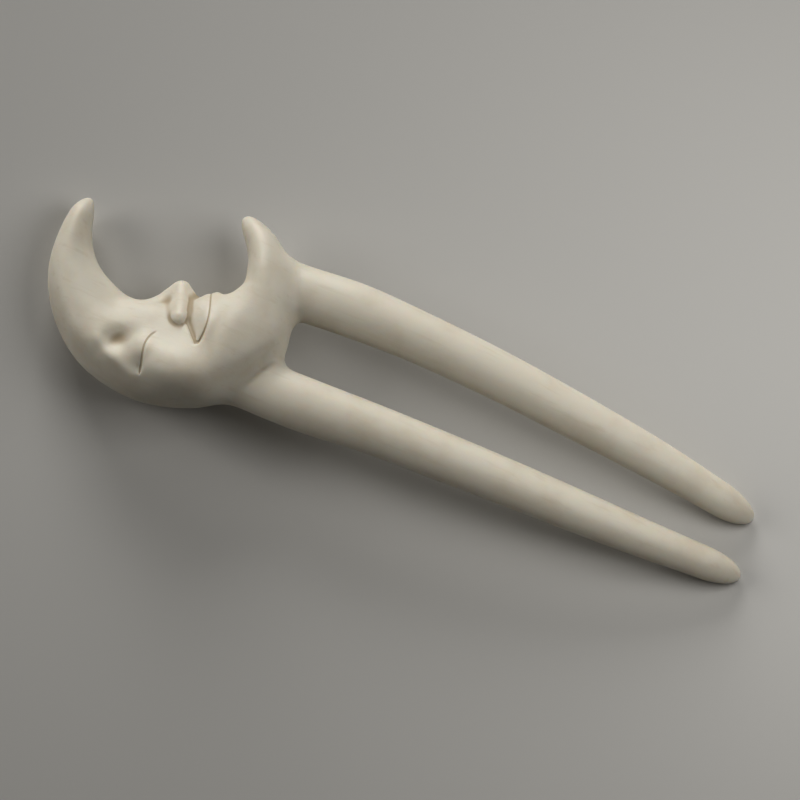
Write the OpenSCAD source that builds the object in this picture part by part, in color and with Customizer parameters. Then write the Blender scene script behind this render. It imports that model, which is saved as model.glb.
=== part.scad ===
// Hair fork carved in one piece: a crescent moon with a sleeping face in profile, and two round prongs.
// Millimetres. x runs from the moon to the prong tips, y towards the moon's open side, z up from the
// surface that the fork lies on. Both flanks carry the same face, mirrored in the middle sheet.

/* [Rest] */
// Height of the moon's middle above the surface
moon_rest = 7.85; // [7.6:0.05:8.4]
// Rise of the middle sheet at the moon, mm for each mm along x
moon_rise = 0.14; // [0.10:0.01:0.16]
// Rise of the middle sheet for each mm along y, which rolls the fork a little
moon_roll = -0.035; // [-0.05:0.005:0]
// Place along x where the middle sheet starts to arch
arch_start = 10; // [6:1:16]
// Height of the middle sheet at the upper prong's tip
tip_rest = 1.2; // [1.1:0.1:2.4]
// Lag of the arch under the lower prong, which evens the tips
arch_lag = 0.4; // [0:0.1:2]

/* [Prongs] */
// Reach of the upper prong's tip from the moon's middle
upper_reach = 111; // [104:1:116]
// Further reach of the lower prong
lower_extra = 2; // [0:0.5:3]
// Length of a prong's rounded end
tip_round = 7; // [5:0.5:9]
// Thickening of the upper prong against the mean
upper_share = 1.02; // [1:0.01:1.05]
// Thinning of the lower prong against the mean
lower_share = 0.98; // [0.95:0.01:1]
// Softness of the joint between the moon and a prong
root_blend = 2.6; // [2:0.2:3.4]

/* [Moon] */
// Middle of the moon's hollow along x
void_x = -4; // [-5:0.1:-3]
// Middle of the moon's hollow along y
void_y = 6.3; // [5.8:0.1:6.8]
// Roundness of the moon's flanks: 1 as measured, and less for flatter ones
flank_share = 1; // [0.94:0.01:1.04]

/* [Face] */
// Swell of the cheek
cheek_rise = 2; // [1.4:0.1:2.4]
// Depth of the turn under the cheek
jaw_depth = 1.6; // [1:0.1:1.8]
// Depth of the hollow over the eye
socket_depth = 1.2; // [0.8:0.05:1.3]
// Swell of the eyeball under its lid
lid_rise = 0.75; // [0.4:0.05:0.9]
// Swell of the brow's outer end
brow_rise = 0.6; // [0.3:0.1:0.9]
// Depth of the hollow of the temple
temple_depth = 0.6; // [0.2:0.1:0.8]
// Swell of the side of the chin
chin_rise = 0.65; // [0.3:0.05:0.8]
// Swell of the upper lip at the rim
lip_rise = 0.45; // [0.3:0.05:0.7]
// Depth of the line of the closed eye
lash_depth = 0.4; // [0.2:0.05:0.6]
// Depth of the line of the mouth
mouth_depth = 0.5; // [0.3:0.05:0.7]
// Depth of the upper lip's sunk side against the cheek
lip_step = 0.5; // [0.3:0.05:0.6]
// Depth of the valley at the root of the lower prong
valley_depth = 0.6; // [0:0.1:0.9]

/* [Hidden] */

// Sections of the moon about the middle of its hollow, from the forehead horn to the chin horn
// Columns: angle, inner radius, outer radius, half thickness, squareness, and lean of the crest
MOON = [
    [173, 15.1, 18.6, 1.6, 2.0, 0],
    [181, 14.9, 19.0, 2.9, 2.0, 0.02],
    [190, 14.5, 19.5, 3.9, 2.0, 0.05],
    [202, 14.0, 20.5, 4.7, 2.0, 0.1],
    [215, 13.6, 22.0, 5.2, 2.0, 0.12],
    [230, 13.1, 23.7, 5.8, 2.0, 0.16],
    [245, 12.6, 25.5, 6.3, 2.1, 0.2],
    [260, 12.4, 27.5, 6.8, 2.35, 0.25],
    [275, 12.4, 29.1, 7.1, 2.6, 0.3],
    [290, 12.5, 30.75, 7.2, 2.6, 0.3],
    [305, 12.8, 32.0, 7.2, 2.6, 0.28],
    [320, 13.0, 31.0, 7.0, 2.5, 0.2],
    [335, 14.4, 31.0, 6.6, 2.4, 0],
    [350, 16.3, 26.9, 6.3, 2.25, -0.15],
    [362, 15.4, 23.6, 5.9, 2.1, -0.3],
    [373, 14.4, 20.7, 5.0, 2.0, -0.4],
    [383, 13.6, 19.4, 3.7, 2.0, -0.4],
    [393, 13.0, 17.0, 2.4, 2.0, -0.2],
    [403, 12.3, 15.8, 1.6, 2.0, 0],
];
// Angles where the horns start to round off, and those of their points
BROW_ROUND = 187;
BROW_POINT = 173.8;
CHIN_ROUND = 388.5;
CHIN_POINT = 400.7;
// Sections of the prongs
// Columns: x, middle of the upper prong, middle of the lower prong, half width, half thickness
PRONG = [
    [10, 6.4, -11.4, 5.2, 3.6],
    [20, 6.3, -12.3, 5.0, 3.4],
    [32, 7.2, -12.15, 5.0, 3.75],
    [44, 7.4, -11.25, 4.6, 3.75],
    [60, 7.05, -10.4, 4.35, 3.65],
    [76, 6.3, -9.5, 4.05, 3.4],
    [92, 5.5, -8.45, 3.6, 3.0],
    [106, 4.45, -7.1, 3.05, 2.5],
    [114, 3.95, -6.4, 2.95, 2.2],
];
// Columns of a moon section as worked out at one angle
MID = 0;
HALF = 1;
THICK = 2;
PAST = 3;
SQUARE = 4;
LEAN = 5;

// Stretches of stations round the moon: angle where each ends, and how many steps it takes
// The third and fifth stretches carry the roots of the lower and the upper prong
STRETCHES = [[240, 8], [262, 5], [308, 19], [338, 10], [347, 3], [375, 9], [388.5, 4]];
// Shares of the way through a horn's rounded end, for its rings
END_SHARES = [0.27, 0.52, 0.74, 0.9, 0.98];
// Steps from the outer rim to the edge of a prong's root, and on from there to the inner rim
ROOT_STEPS = 4;
FLANK_STEPS = 24;
// Angle round a section where a prong's root ends
ROOT_TURN = 41;
HALF_STEPS = ROOT_STEPS + FLANK_STEPS;
// Crowding of the steps towards the inner rim, where the nose is
INNER_CROWD = 0.5;
RING = 2 * HALF_STEPS;
// Rings of a prong: those that leave the moon, and the plain ones
ROOT_RINGS = 4;
PLAIN_RINGS = 18;
END_RINGS = 6;
// Place along x of a prong's first plain ring
plain_x = 29;
// Places along x up to which the moon's field matters, and from which the prongs' does
MOON_ENDS = 44;
PRONGS_START = 4;
FAR = 9;
// Share of the field's value that each step towards the surface takes, and the number of steps
STEP = 0.7;
TRACES = 14;
// Scale that makes the fields close to true distances
MOON_SCALE = 0.9;
PRONG_SCALE = 0.95;
// Share of a section's arm where each trace starts
FIRST_REACH = 0.6;
// Direction of the hollow's open side, where the angle about it is counted on
OPEN_SIDE = 107;
// Places along x where the prongs' own forms start inside the moon, and the length of those round starts
UPPER_START = 19;
LOWER_START = 15;
START_ROUND = 5;
// Turn of a prong's last ring on its round end
LAST_TURN = 88;
// Power of a cut's section
CUT_POWER = 1.4;
// Numbers closer than this are the same
SAME = 0.001;
// Half widths beyond which the moon's field grows no further across
FAR_ACROSS = 3;
// Swell of the cheek's back under the mouth, and of the upper lip beside the nostril
CHEEK_BACK = 0.45;
UPPER_LIP = 0.4;
// Depths of the groove beside the nostril, the smile fold and the dips over and under the lips
GROOVE_DEPTH = 0.38;
SMILE_DEPTH = 0.2;
OVER_LIP_DEPTH = 0.5;
UNDER_LIP_DEPTH = 0.55;
// Swell of the lower lip at the rim, and of the brow's outer edge
LOWER_LIP = 0.55;
BROW_EDGE = 0.3;
// Softness of the nose's joint to the face, and swell of the nostril's wing
NOSE_BLEND = 2;
WING_RISE = 0.45;
// Widths of the lines to their left and right: closed eye, mouth and brow
LASH_SIDES = [0.4, 1.2];
MOUTH_SIDES = [0.4, 0.7];
BROW_SIDES = [0.9, 0.8];
// Widths of the valley at the lower prong's root, towards the prong and towards the moon
VALLEY_SIDES = [1.3, 1.6];
// Softness of the lip's sunk side at the cheek and at the mouth, and the width over which it falls away
LIP_EDGES = [0.3, 0.25];
LIP_REACH = 1.9;

function clamp(v, low, high) = min(max(v, low), high);
function last(list) = list[len(list) - 1];
function unit(v) = v / norm(v);
function mix(a, b, t) = a + (b - a) * t;
function ease(t) = t * t * (3 - 2 * t);

// Smooth lower envelope of two fields
function join(a, b, k) =
    let (h = max(k - abs(a - b), 0) / k)
    min(a, b) - h * h * k / 4;

// Slope of each column at each row of a table, against the first column
function slopes(table) = [
    for (i = [0 : len(table) - 1])
        let (a = max(i - 1, 0), b = min(i + 1, len(table) - 1))
        (table[b] - table[a]) / (table[b][0] - table[a][0])
];
MOON_SLOPES = slopes(MOON);
PRONG_SLOPES = slopes(PRONG);

// A whole row of a table at t, by cubics through the rows
function row_at(table, slope, t) =
    let (
        at = clamp(t, table[0][0], last(table)[0]),
        i = max([for (k = [0 : len(table) - 2]) if (table[k][0] <= at) k]),
        h = table[i + 1][0] - table[i][0],
        f = (at - table[i][0]) / h,
        a = table[i],
        b = table[i + 1],
        c = slope[i] * h,
        d = slope[i + 1] * h
    )
    a + f * (c + f * (3 * (b - a) - 2 * c - d + f * (2 * (a - b) + c + d)));

// Height of the middle sheet: a plane under the moon, then one even arch down to the tips
arch_bend = 2 * (moon_rest + moon_rise * upper_reach - tip_rest) / pow(upper_reach - arch_start, 2);
function lag(y) = arch_lag * (last(PRONG)[1] - y) / (last(PRONG)[1] - last(PRONG)[2]);
function sheet(x, y) =
    moon_rest + moon_rise * x + moon_roll * y - arch_bend * pow(max(x - arch_start - lag(y), 0), 2) / 2;

// Swell of the surface round a place in plan, longer along a turned direction; firm ones have flatter tops
function swell(p, at, size, turn = 0, firm = 1) =
    let (
        d = p - at,
        u = (d.x * cos(turn) + d.y * sin(turn)) / size.x,
        v = (d.y * cos(turn) - d.x * sin(turn)) / size.y
    )
    exp(-pow(u * u + v * v, firm));

// Swell of the surface round a point in space
function blob(p, at, size) =
    let (d = p - at)
    exp(-pow(d.x / size.x, 2) - pow(d.y / size.y, 2) - pow(d.z / size.z, 2));

// Round bar between two balls
function bar(p, a, b, radius_a, radius_b) =
    let (v = b - a, t = clamp((p - a) * v / (v * v), 0, 1))
    norm(p - a - t * v) - mix(radius_a, radius_b, t);

// Distance across a bowed line in plan, and the share of the way along it
function fold(p, a, b, bow, skew = 0) =
    let (
        run = norm(b - a),
        v = (b - a) / run,
        d = p - a,
        t = (d * v) / run,
        c = clamp(t, -0.1, 1.1)
    )
    [d.y * v.x - d.x * v.y - 4 * bow * c * (1 - c) * (1 + skew * (0.5 - c)), t];

// One along a line, easing to nought over its first and last shares
function ends(t, first, final) = ease(clamp(min(t / first, (1 - t) / final), 0, 1));
// Section of a cut with sides of two widths
function cut(s, sides) = exp(-pow(s > 0 ? s / sides[0] : -s / sides[1], CUT_POWER));

// Rise from nought to one about nought
function rise(v) = 1 / (1 + exp(-clamp(v, -30, 30)));

// Nose: bridge, tip, underside and side
function nose(p) =
    join(
        join(
            join(
                bar(p, [-1.2, -7.6, 0], [0.95, -3.65, 0], 1.9, 1.65),
                bar(p, [0.95, -3.65, 0], [2.05, -1.55, 0], 1.6, 1.5),
                0.6
            ),
            bar(p, [2.5, -1.55, 0], [5.05, -3.1, 0], 1.4, 1.55),
            0.8
        ),
        bar(p, [2.35, -2.0, 0.4], [4.95, -6.8, 5.1], 1.6, 0.7),
        1.6
    );
function wing(flat) = WING_RISE * swell(flat, [5.2, -7.75], [1.12, 1.05], 0, 1.6);

// Cheek, jaw, chin and temple
function cheek_and_chin(flat) =
    cheek_rise * swell(flat, [8.8, -17.2], [5.8, 4.5], -20, 1.3)
    - jaw_depth * swell(flat, [11.4, -21.6], [5.0, 2.3], 24)
    + chin_rise * swell(flat, [14.0, -5.6], [3.2, 5.0], -7)
    + CHEEK_BACK * swell(flat, [14.8, -12.5], [3.2, 4.1])
    - temple_depth * swell(flat, [-6.8, -9.3], [4.6, 3.6]);
// Socket, eyeball and the brow's outer end
function eye_region(flat) =
    -socket_depth * swell(flat, [-2.6, -15.6], [2.5, 1.55], 60)
    + lid_rise * swell(flat, [1.6, -15.3], [2.1, 2.5], -5, 1.4)
    + brow_rise * swell(flat, [-3.6, -17.4], [4.2, 1.9], -24, 1.3);
// Groove beside the nostril, upper lip and smile fold
function mouth_region(flat) =
    -GROOVE_DEPTH * swell(flat, [5.6, -5.2], [2.6, 1.1], -64)
    + UPPER_LIP * swell(flat, [10.4, -6.8], [1.5, 3.0], 27)
    - SMILE_DEPTH * swell(flat, [12.3, -6.8], [0.9, 2.8], 12);
// Lips and the dips over and under them, at the inner rim
function profile(p) =
    lip_rise * blob(p, [7.1, -0.9, 0], [1.1, 2.0, 4])
    + LOWER_LIP * blob(p, [8.7, 0, 0], [0.9, 1.6, 4])
    - OVER_LIP_DEPTH * blob(p, [5.6, -1.2, 0], [0.8, 1.3, 5])
    - UNDER_LIP_DEPTH * blob(p, [10.8, 0.7, 0], [2.0, 1.65, 5]);

// Lines of the closed eye, the mouth and the brow's edge, and the upper lip's sunk side
function lines(flat) =
    let (
        lash = fold(flat, [3.1, -11.2], [3.5, -20.3], -1.0, 2.0),
        mouth = fold(flat, [7.2, 0.9], [10.45, -11.3], 1.03, -1.0),
        brow = fold(flat, [-8.2, -15.4], [4.6, -21.4], -0.8),
        cheek = fold(flat, [5.9, -7.1], [10.4, -11.6], 0),
        late = pow(clamp(lash[1], 0, 1), 4),
        sides = rise(cheek[0] / LIP_EDGES[0]) * rise(-mouth[0] / LIP_EDGES[1]),
        lip = sides * exp(-max(cheek[0], 0) / LIP_REACH)
    )
    ends(lash[1], 0.22, 0.14) * lash_depth * (1 + late) * cut(lash[0], LASH_SIDES)
    + ends(mouth[1], 0.05, 0.06) * mouth_depth * cut(mouth[0], MOUTH_SIDES)
    - ends(brow[1], 0.25, 0.2) * BROW_EDGE * cut(brow[0], BROW_SIDES)
    + ends(cheek[1], 0.4, 0.1) * lip_step * lip;

// Valley along the moon's rim where the lower prong leaves it
function root_valley(flat) =
    let (line = fold(flat, [23.3, -3.6], [16.6, -18.6], 1.3))
    ends(line[1], 0.35, 0.55) * valley_depth * cut(line[0], VALLEY_SIDES);

// The moon's plain field with the face worked into it
function with_face(p, plain) =
    let (
        flat = [p.x, p.y],
        formed = plain - cheek_and_chin(flat) - eye_region(flat) - mouth_region(flat) - profile(p),
        lined = formed + lines(flat)
    )
    join(lined, nose(p), NOSE_BLEND) - wing(flat);

// Section of the moon at an angle about its hollow
function moon_section(angle) =
    let (
        row = row_at(MOON, MOON_SLOPES, angle),
        mid = (row[1] + row[2]) / 2,
        half = (row[2] - row[1]) / 2,
        brow = max(BROW_ROUND - angle, 0) / (BROW_ROUND - BROW_POINT),
        chin = max(angle - CHIN_ROUND, 0) / (CHIN_POINT - CHIN_ROUND)
    )
    [mid, half, row[3] * flank_share, brow + chin, row[4], row[5]];

function moon_field(section, radius, q) =
    let (
        plain = clamp((radius - section[MID]) / section[HALF], -FAR_ACROSS, FAR_ACROSS),
        across = plain - section[LEAN] * pow(max(1 - plain * plain, 0), 2),
        power = section[SQUARE],
        size = pow(pow(abs(across), power) + pow(abs(q / section[THICK]), power), 1 / power)
    )
    (norm([size, section[PAST]]) - 1) * min(section[HALF], section[THICK]) * MOON_SCALE;

// Field of one prong; side is 1 for the upper prong and 2 for the lower
function prong_field(x, y, q, side) =
    let (
        row = row_at(PRONG, PRONG_SLOPES, x),
        half = row[3] * (side == 1 ? upper_share : lower_share),
        reach = upper_reach + (side == 1 ? 0 : lower_extra),
        root = side == 1 ? UPPER_START : LOWER_START,
        u = max(x - (reach - tip_round), 0) / tip_round,
        v = max(root - x, 0) / START_ROUND
    )
    (norm([(y - row[side]) / half, q / row[4], u, v]) - 1) * min(half, row[4]) * PRONG_SCALE;

// Angle about the hollow, counted on from the open side so that it never jumps inside the moon
function hollow_angle(x, y) =
    let (a = atan2(y - void_y, x - void_x))
    a < OPEN_SIDE ? a + 360 : a;

// Field of the whole fork at plan x, y and height q over the middle sheet; below nought is inside
function fork_field(x, y, q, section) =
    let (
        r = norm([x - void_x, y - void_y]),
        moon = x > MOON_ENDS ? FAR : with_face([x, y, abs(q)], moon_field(section, r, q)),
        prongs = x < PRONGS_START ? FAR : min(prong_field(x, y, q, 1), prong_field(x, y, q, 2))
    )
    join(moon, prongs, root_blend) + root_valley([x, y]);

// Point of the surface on a ray in one section of the moon
function moon_trace(angle, section, way, reach, left) =
    let (
        r = section[MID] + reach * way.x,
        x = void_x + r * cos(angle),
        y = void_y + r * sin(angle),
        q = reach * way.y
    )
    left == 0
        ? [x, y, q]
        : moon_trace(angle, section, way, reach - STEP * fork_field(x, y, q, section), left - 1);

// Point of the surface on a ray across one prong
function prong_trace(x, middle, way, reach, left) =
    let (y = middle + reach * way.x, q = reach * way.y)
    left == 0
        ? [x, y, q]
        : let (section = moon_section(hollow_angle(x, y)))
          prong_trace(x, middle, way, reach - STEP * fork_field(x, y, q, section), left - 1);

// Angles of the moon's rings, with the rings of the horns' round ends
function stretch_angles(k) =
    let (start = k == 0 ? BROW_ROUND : STRETCHES[k - 1][0], n = STRETCHES[k][1])
    [for (i = [1 : n]) mix(start, STRETCHES[k][0], i / n)];
ANGLES = [
    for (i = [len(END_SHARES) - 1 : -1 : 0]) mix(BROW_ROUND, BROW_POINT, END_SHARES[i]),
    BROW_ROUND,
    for (k = [0 : len(STRETCHES) - 1]) each stretch_angles(k),
    for (share = END_SHARES) mix(CHIN_ROUND, CHIN_POINT, share),
];
function ring_of(angle) = [for (i = [0 : len(ANGLES) - 1]) if (abs(ANGLES[i] - angle) < SAME) i][0];

// Turns of a section's points, from the outer rim over the flank to the inner rim
TURNS = [
    for (j = [0 : HALF_STEPS])
        j <= ROOT_STEPS
            ? ROOT_TURN * j / ROOT_STEPS
            : let (u = (j - ROOT_STEPS) / FLANK_STEPS)
              mix(ROOT_TURN, 180, mix(u, sin(90 * u), INNER_CROWD))
];

// Upper half of every ring of the moon
MOON_HALF = [
    for (angle = ANGLES)
        let (section = moon_section(angle), shrink = sqrt(1 - pow(section[PAST], 2)))
        [
            for (turn = TURNS)
                let (arm = [section[HALF] * cos(turn), section[THICK] * sin(turn)])
                moon_trace(angle, section, unit(arm), FIRST_REACH * shrink * norm(arm), TRACES)
        ]
];

function flip(p) = [p.x, p.y, -p.z];
function whole_ring(half) =
    let (n = len(half) - 1)
    [for (j = [0 : 2 * n - 1]) j <= n ? half[j] : flip(half[2 * n - j])];

// Rings that carry a prong's root, as numbers of the first and the last
LOWER_ROOT = [ring_of(308), ring_of(338)];
UPPER_ROOT = [ring_of(347), ring_of(375)];

// Cell of the moon's net at each step round the upper half of a prong's root: ring and step round it
function root_cells(root) =
    let (wide = root[1] - root[0])
    [
        for (k = [0 : 2 * ROOT_STEPS + wide])
            k <= ROOT_STEPS ? [root[1], k]
            : k <= ROOT_STEPS + wide ? [root[1] - (k - ROOT_STEPS), ROOT_STEPS]
            : [root[0], 2 * ROOT_STEPS + wide - k]
    ];

// Places along x of a prong's plain rings, crowded towards its round end
function plain_places(side) =
    let (reach = upper_reach + (side == 1 ? 0 : lower_extra), round_x = reach - tip_round)
    [
        for (i = [0 : PLAIN_RINGS - 1]) mix(plain_x, round_x, i / PLAIN_RINGS),
        for (i = [0 : END_RINGS - 1]) round_x + tip_round * sin(LAST_TURN * i / (END_RINGS - 1)),
    ];

// Upper half of a plain ring at x with n steps
function plain_half(x, side, n) =
    let (
        row = row_at(PRONG, PRONG_SLOPES, x),
        reach = upper_reach + (side == 1 ? 0 : lower_extra),
        u = max(x - (reach - tip_round), 0) / tip_round,
        shrink = sqrt(max(1 - u * u, SAME))
    )
    [
        for (k = [0 : n])
            let (arm = [row[3] * cos(180 * k / n), row[4] * sin(180 * k / n)] * shrink)
            prong_trace(x, row[side], unit(arm), FIRST_REACH * norm(arm), TRACES)
    ];

// Upper halves of all of a prong's rings: those from its root to the first plain one, then the plain ones
function prong_halves(side, root) =
    let (
        cells = root_cells(root),
        n = len(cells) - 1,
        first = plain_half(plain_x, side, n),
        first_mid = row_at(PRONG, PRONG_SLOPES, plain_x)[side]
    )
    [
        for (r = [1 : ROOT_RINGS])
            let (t = r / (ROOT_RINGS + 1))
            [
                for (k = [0 : n])
                    let (
                        from = MOON_HALF[cells[k][0]][cells[k][1]],
                        x = mix(from.x, plain_x, t),
                        from_mid = row_at(PRONG, PRONG_SLOPES, from.x)[side],
                        arm = mix([from.y - from_mid, from.z], [first[k].y - first_mid, first[k].z], t),
                        middle = row_at(PRONG, PRONG_SLOPES, x)[side]
                    )
                    prong_trace(x, middle, unit(arm), FIRST_REACH * norm(arm), TRACES)
            ],
        for (x = plain_places(side)) plain_half(x, side, n),
    ];
UPPER_HALVES = prong_halves(1, UPPER_ROOT);
LOWER_HALVES = prong_halves(2, LOWER_ROOT);

// Points of the horn tips and the prong tips
function horn_point(angle) =
    let (mid = moon_section(angle)[MID])
    [void_x + mid * cos(angle), void_y + mid * sin(angle), 0];
function prong_point(side) =
    let (reach = upper_reach + (side == 1 ? 0 : lower_extra))
    [reach, row_at(PRONG, PRONG_SLOPES, reach)[side], 0];

// All points, over the middle sheet
FLAT_POINTS = [
    for (half = MOON_HALF) each whole_ring(half),
    for (half = UPPER_HALVES) each whole_ring(half),
    for (half = LOWER_HALVES) each whole_ring(half),
    horn_point(BROW_POINT),
    horn_point(CHIN_POINT),
    prong_point(1),
    prong_point(2),
];
POINTS = [for (p = FLAT_POINTS) [p.x, p.y, p.z + sheet(p.x, p.y)]];

// Numbers of the points
MOON_COUNT = len(MOON_HALF) * RING;
UPPER_RING = 2 * (len(UPPER_HALVES[0]) - 1);
LOWER_RING = 2 * (len(LOWER_HALVES[0]) - 1);
UPPER_FIRST = MOON_COUNT;
LOWER_FIRST = UPPER_FIRST + len(UPPER_HALVES) * UPPER_RING;
POLES = LOWER_FIRST + len(LOWER_HALVES) * LOWER_RING;

function moon_index(ring, step) = ring * RING + (step + RING) % RING;
function in_root(ring, step, root) =
    ring >= root[0] && ring < root[1] && (step < ROOT_STEPS || step >= RING - ROOT_STEPS);
function root_loop(root) =
    let (cells = root_cells(root), n = len(cells) - 1)
    [
        for (k = [0 : 2 * n - 1])
            let (cell = cells[k <= n ? k : 2 * n - k])
            moon_index(cell[0], k <= n ? cell[1] : -cell[1])
    ];
function ring_loop(first, size, ring) = [for (k = [0 : size - 1]) first + ring * size + k];

// Two triangles between neighbours on two loops
function band(a, b) = [
    for (k = [0 : len(a) - 1])
        let (next = (k + 1) % len(a))
        each [[a[k], b[k], a[next]], [a[next], b[k], b[next]]]
];
function fan(loop, pole) = [for (k = [0 : len(loop) - 1]) [loop[k], pole, loop[(k + 1) % len(loop)]]];
function turned(faces) = [for (f = faces) [f[2], f[1], f[0]]];

function prong_faces(root, first, size, count, pole) = [
    each band(root_loop(root), ring_loop(first, size, 0)),
    for (r = [0 : count - 2]) each band(ring_loop(first, size, r), ring_loop(first, size, r + 1)),
    each fan(ring_loop(first, size, count - 1), pole),
];
MOON_FACES = [
    for (i = [0 : len(MOON_HALF) - 2])
        for (j = [0 : RING - 1])
            if (!in_root(i, j, LOWER_ROOT) && !in_root(i, j, UPPER_ROOT))
                let (
                    a = moon_index(i, j),
                    b = moon_index(i, j + 1),
                    c = moon_index(i + 1, j + 1),
                    d = moon_index(i + 1, j)
                )
                each [[a, b, d], [b, c, d]]
];
first_ring = [for (j = [0 : RING - 1]) moon_index(0, j)];
last_ring = [for (j = [0 : RING - 1]) moon_index(len(MOON_HALF) - 1, j)];
FACES = [
    each MOON_FACES,
    each fan(first_ring, POLES),
    each turned(fan(last_ring, POLES + 1)),
    each prong_faces(UPPER_ROOT, UPPER_FIRST, UPPER_RING, len(UPPER_HALVES), POLES + 2),
    each prong_faces(LOWER_ROOT, LOWER_FIRST, LOWER_RING, len(LOWER_HALVES), POLES + 3),
];

// The origin goes under the middle of the fork's box
xs = [for (p = POINTS) p.x];
ys = [for (p = POINTS) p.y];
zs = [for (p = POINTS) p.z];
base = [(min(xs) + max(xs)) / 2, (min(ys) + max(ys)) / 2, min(zs)];

module hair_fork() {
    color("#d8cfbd")
        translate(-base)
            polyhedron(POINTS, FACES, convexity = 6);
}

hair_fork();
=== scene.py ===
"""A hair fork of ivory-coloured resin: a crescent moon with a sleeping face, and two round prongs.

The fork is shaped the way its maker shapes it. A flat blank gives the crescent and the prongs, their sections
are rounded, one face is worked into both flanks, and the blank is bent into a low arch. Every size is in
millimetres about the middle of the moon, with x towards the prong tips, y towards the moon's open side and q
over the middle sheet of the blank, until the finished skin is laid in the frame's own place in metres.
"""

import logging
import math
from dataclasses import dataclass, field
from enum import Enum

import bmesh
import bpy
import numpy as np
from mathutils import Matrix, Vector


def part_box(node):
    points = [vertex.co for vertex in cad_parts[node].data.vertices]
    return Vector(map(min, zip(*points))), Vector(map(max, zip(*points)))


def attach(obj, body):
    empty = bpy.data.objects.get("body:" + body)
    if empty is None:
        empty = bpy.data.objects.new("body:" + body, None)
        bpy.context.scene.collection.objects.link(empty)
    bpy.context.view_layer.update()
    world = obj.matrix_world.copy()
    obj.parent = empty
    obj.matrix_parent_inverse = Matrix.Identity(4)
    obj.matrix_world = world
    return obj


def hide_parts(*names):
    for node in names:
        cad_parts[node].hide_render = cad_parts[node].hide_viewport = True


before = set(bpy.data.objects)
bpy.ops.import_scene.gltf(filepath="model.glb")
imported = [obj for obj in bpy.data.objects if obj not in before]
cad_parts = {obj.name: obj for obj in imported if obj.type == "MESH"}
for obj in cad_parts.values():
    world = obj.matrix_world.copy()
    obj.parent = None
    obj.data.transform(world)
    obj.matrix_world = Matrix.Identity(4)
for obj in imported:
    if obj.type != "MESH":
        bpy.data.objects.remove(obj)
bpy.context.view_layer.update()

Array = np.ndarray
Point = tuple[float, float, float]
Colour = tuple[float, float, float, float]

MM = 0.001
FULL_TURN = 360.0
HALF_TURN = 180.0
NODE = "hair_fork"
HOLLOW = "hollow"
CREST = "crest"

# Beyond this a soft step is level
STEP_LIMIT = 30.0
# Share of its length over which a line's bow and a fold's depth go on past the ends
LINE_OVERRUN = 0.1
# Share over which the finer faces along a cut go on past its ends
CUT_OVERRUN = 0.06
# Power by which a fold deepens towards its end
DEEPENING_POWER = 4
# Roughness of every noise in the material
NOISE_ROUGHNESS = 0.55

log = logging.getLogger("hair_fork")


def soft_least(first: Array, second: Array, softness: float) -> Array:
    """Joins two fields with a soft valley between them.

    Args:
        first: Values of the one field, in millimetres.
        second: Values of the other field.
        softness: Width over which the two flow together.

    Returns:
        The lesser of the two, lowered a little where they are close.
    """
    near = np.maximum(softness - np.abs(first - second), 0.0) / softness
    return np.minimum(first, second) - near * near * softness / 4.0


def ease(share: Array) -> Array:
    """Turns a share from nought to one into a curve that starts and ends level."""
    share = np.clip(share, 0.0, 1.0)
    return share * share * (3.0 - 2.0 * share)


def rise(value: Array) -> Array:
    """Rises softly from nought to one about nought."""
    return 1.0 / (1.0 + np.exp(-np.clip(value, -STEP_LIMIT, STEP_LIMIT)))


@dataclass(frozen=True)
class Sections:
    """Sections of a form at places along it, joined by cubics through every row.

    Attributes:
        columns: Names of the columns; the first is the place along the form.
        rows: One row of sizes for each section.
    """

    columns: tuple[str, ...]
    rows: tuple[tuple[float, ...], ...]

    def at(self, column: str, place: Array) -> Array:
        """Reads one size of the form.

        Args:
            column: Name of the size.
            place: Places along the form.

        Returns:
            The size at each place; the end rows hold beyond the ends.
        """
        table = np.array(self.rows)
        places, sizes = table[:, 0], table[:, self.columns.index(column)]
        before = np.maximum(np.arange(len(places)) - 1, 0)
        after = np.minimum(np.arange(len(places)) + 1, len(places) - 1)
        slopes = (sizes[after] - sizes[before]) / (places[after] - places[before])
        place = np.clip(place, places[0], places[-1])
        row = np.clip(np.searchsorted(places, place, side="right") - 1, 0, len(places) - 2)
        step = places[row + 1] - places[row]
        share = (place - places[row]) / step
        start, end = sizes[row], sizes[row + 1]
        leave, arrive = slopes[row] * step, slopes[row + 1] * step
        bend = 3.0 * (end - start) - 2.0 * leave - arrive + share * (2.0 * (start - end) + leave + arrive)
        return start + share * (leave + share * bend)


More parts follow.
